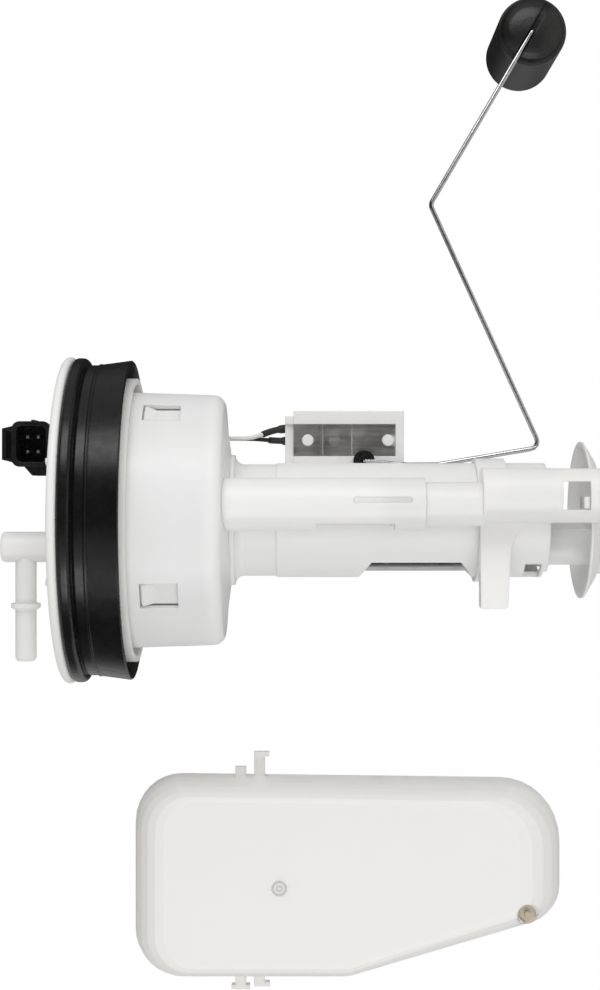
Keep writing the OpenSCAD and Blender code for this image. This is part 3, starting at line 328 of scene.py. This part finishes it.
MATERIALS = {
    "white_plastic": white_plastic(),
    "cup_plastic": cup_plastic(),
    "rubber": rubber(),
    "black_plastic": black_plastic(),
    "steel": metal("steel", (0.52, 0.52, 0.53), (0.75, 0.75, 0.76), 0.16, 0.3, (1, 1, 0.05)),
    "nickel": metal("nickel", (0.52, 0.51, 0.48), (0.76, 0.75, 0.71), 0.3, 0.46, (1, 1, 0.06)),
    "copper": metal("copper", (0.55, 0.26, 0.14), (0.78, 0.42, 0.26), 0.3, 0.45, (1, 1, 0.1)),
    "ferrite": plain("ferrite", (0.03, 0.03, 0.033), (0.06, 0.06, 0.065), 0.6),
    "filter_paper": plain("filter_paper", (0.68, 0.58, 0.38), (0.82, 0.74, 0.54), 0.85, 600),
    "amber_plastic": plain("amber_plastic", (0.50, 0.43, 0.32), (0.60, 0.53, 0.41), 0.5),
    "mesh": plain("mesh", (0.58, 0.56, 0.5), (0.74, 0.72, 0.66), 0.7, 1500),
    "card": plain("card", (0.70, 0.69, 0.64), (0.80, 0.79, 0.75), 0.55),
    "float_foam": foam(),
    "white_lead": plain("white_lead", (0.72, 0.72, 0.69), (0.84, 0.84, 0.81), 0.4),
    "black_lead": plain("black_lead", (0.012, 0.012, 0.012), (0.028, 0.028, 0.028), 0.45),
}

SLOT_OF = {s["node"]: s["material_slot"] for s in frame["record"]["subparts"]}


def paint(obj, slot):
    obj.data.materials.clear()
    obj.data.materials.append(MATERIALS[slot])


for name, obj in nodes.items():
    paint(obj, SLOT_OF[name])


# ---------------------------------------------------------------- small moulded details
def lathe(name, profile, centre, axis, slot, body, steps=48):
    """A closed ring turned from (radius, height) points around an axis through a centre."""
    mesh = bmesh.new()
    rings = []
    for k in range(steps):
        a = 2 * math.pi * k / steps
        rings.append([mesh.verts.new((r * math.cos(a), r * math.sin(a), h)) for r, h in profile])
    count = len(profile)
    for k in range(steps):
        here, after = rings[k], rings[(k + 1) % steps]
        for i in range(count):
            j = (i + 1) % count
            mesh.faces.new((here[i], after[i], after[j], here[j]))
    bmesh.ops.recalc_face_normals(mesh, faces=mesh.faces)
    data = bpy.data.meshes.new(name)
    mesh.to_mesh(data)
    mesh.free()
    for face in data.polygons:
        face.use_smooth = True
    obj = bpy.data.objects.new(name, data)
    bpy.context.collection.objects.link(obj)
    turn = Vector((0, 0, 1)).rotation_difference(Vector(axis)).to_matrix().to_4x4()
    obj.matrix_world = Matrix.Translation(centre) @ turn
    paint(obj, slot)
    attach(obj, body)
    return obj


def low_ring(radius, width, height):
    """Profile of a low moulded ring that starts just under the surface."""
    w = width / 2
    sunk = -0.3 * MM
    return [
        (radius - w, sunk), (radius - w, height * 0.6), (radius - w * 0.5, height),
        (radius + w * 0.5, height), (radius + w, height * 0.6), (radius + w, sunk)
    ]


CUP_GATE_X = -132.6 * MM
CUP_GATE_Z = -76.2 * MM
CUP_GATE_HEIGHT = 0.15 * MM
EJECTOR_CIRCLE = 36 * MM
EJECTOR_Z = 4.08 * MM  # height of the flange's face at that circle
EJECTOR_TURNS = (20, 110, 200, 290)


def add_gate_marks():
    """Injection gate and ejector marks, where the moulds leave them."""
    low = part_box("reservoir_cup")[0]
    place = (CUP_GATE_X, low[1], CUP_GATE_Z)
    mark = low_ring(2.4 * MM, 0.7 * MM, CUP_GATE_HEIGHT)
    dot = low_ring(0.9 * MM, 0.5 * MM, CUP_GATE_HEIGHT)
    lathe("cup_gate_mark", mark, place, (0, -1, 0), "cup_plastic", "cup")
    lathe("cup_gate_dot", dot, place, (0, -1, 0), "cup_plastic", "cup", 32)
    ejector = low_ring(3.2 * MM, 0.6 * MM, 0.1 * MM)
    for k, turn in enumerate(EJECTOR_TURNS):
        a = math.radians(turn)
        place = (EJECTOR_CIRCLE * math.cos(a), EJECTOR_CIRCLE * math.sin(a), EJECTOR_Z)
        lathe(f"flange_ejector_{k}", ejector, place, (0, 0, 1), "white_plastic", "module", 40)


add_gate_marks()


# ---------------------------------------------------------------- floor
FLOOR_RADIUS = 0.33
FLOOR_Z = -0.285


def add_floor():
    """A pale disc well below the part."""
    bpy.ops.mesh.primitive_circle_add(
        vertices=96, radius=FLOOR_RADIUS, fill_type="NGON", location=(0, 0, FLOOR_Z))
    floor = bpy.context.object
    floor.name = "floor"
    floor.data.materials.append(plain("floor", (0.80, 0.80, 0.79), (0.84, 0.84, 0.83), 0.6, 20))


add_floor()
